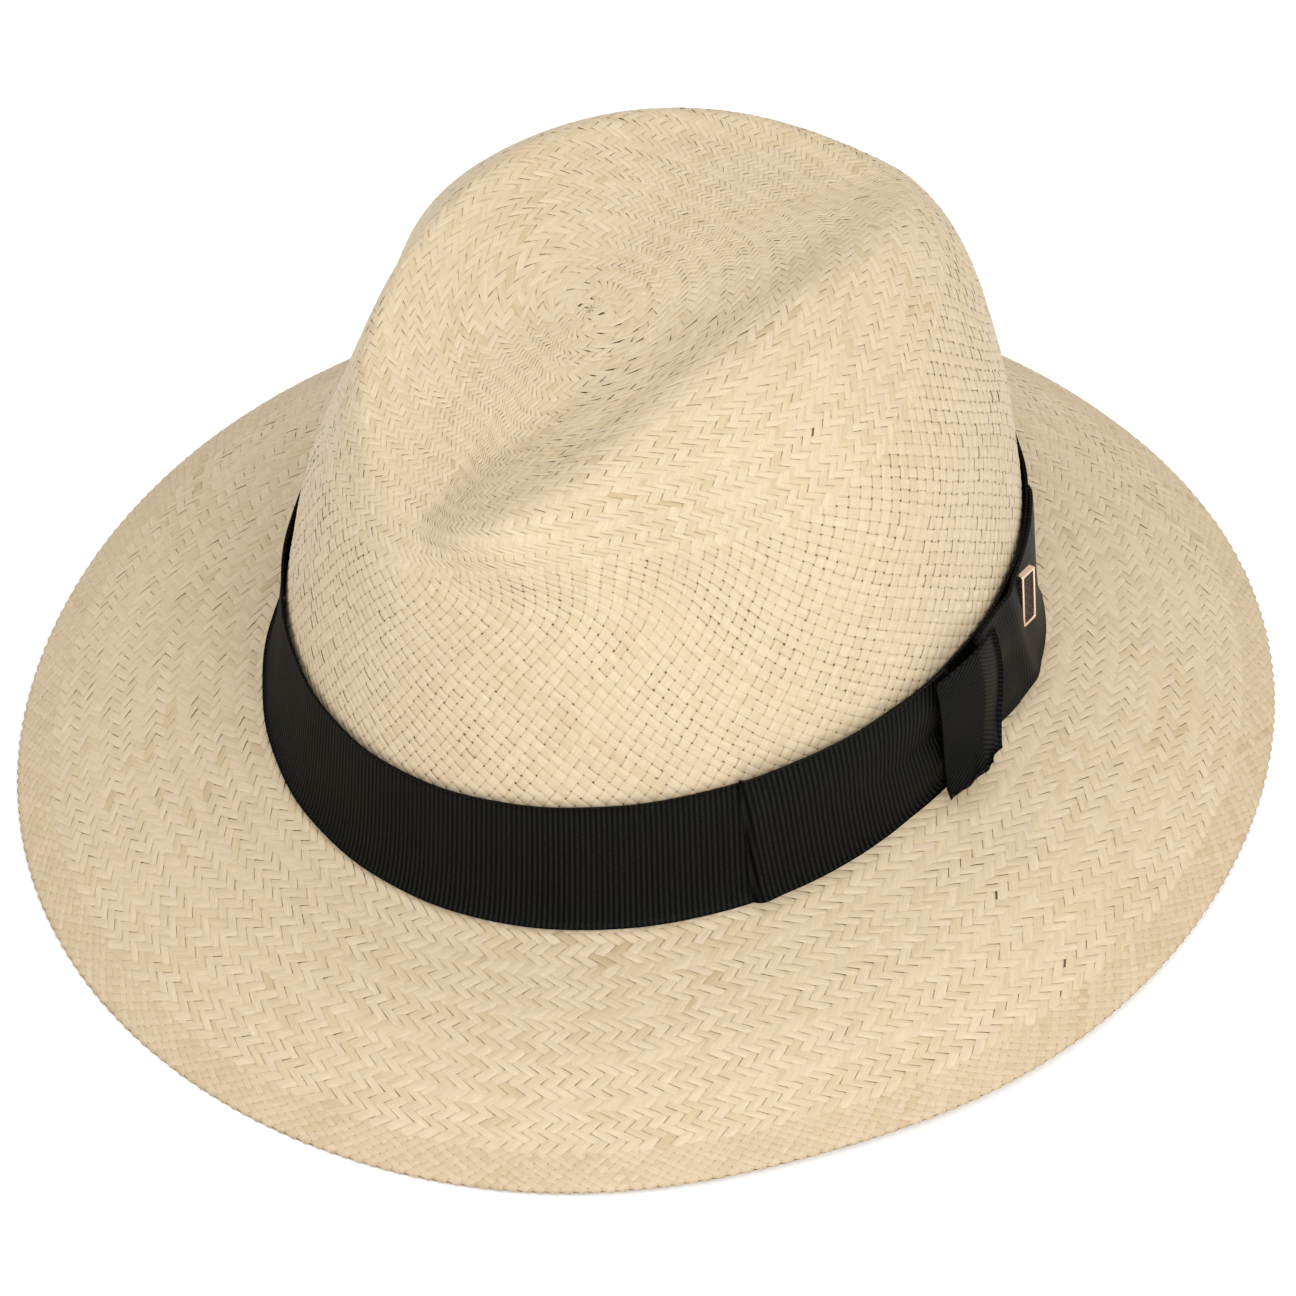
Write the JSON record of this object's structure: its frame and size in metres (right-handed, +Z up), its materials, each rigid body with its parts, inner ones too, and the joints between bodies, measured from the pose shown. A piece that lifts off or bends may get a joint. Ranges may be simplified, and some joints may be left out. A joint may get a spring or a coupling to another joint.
{
  "type": "panama hat",
  "caption": "Woven straw hat with a pinched, creased crown, a wide brim lifted at the sides, and a dark ribbon band tied in a flat bow on the wearer's left.",
  "frame": {"origin": "on the surface that the brim rests on, under the middle of the hat's bounding box", "axes": "+Z up through the crown, -Y towards the front of the hat, +X towards the wearer's left, where the bow is"},
  "size_m": [0.2972, 0.3216, 0.1406],
  "materials": {
    "straw": "natural bleached toquilla straw, matte with a soft sheen",
    "ribbon": "black ribbed grosgrain",
    "badge": "polished frame, darkened face"
  },
  "bodies": {
    "root": {"straw_body": "straw", "ribbon_band": "ribbon", "bow_front_loop": "ribbon", "bow_knot": "ribbon", "bow_back_loop": "ribbon", "badge_plate": "badge"}
  },
  "joints": []
}
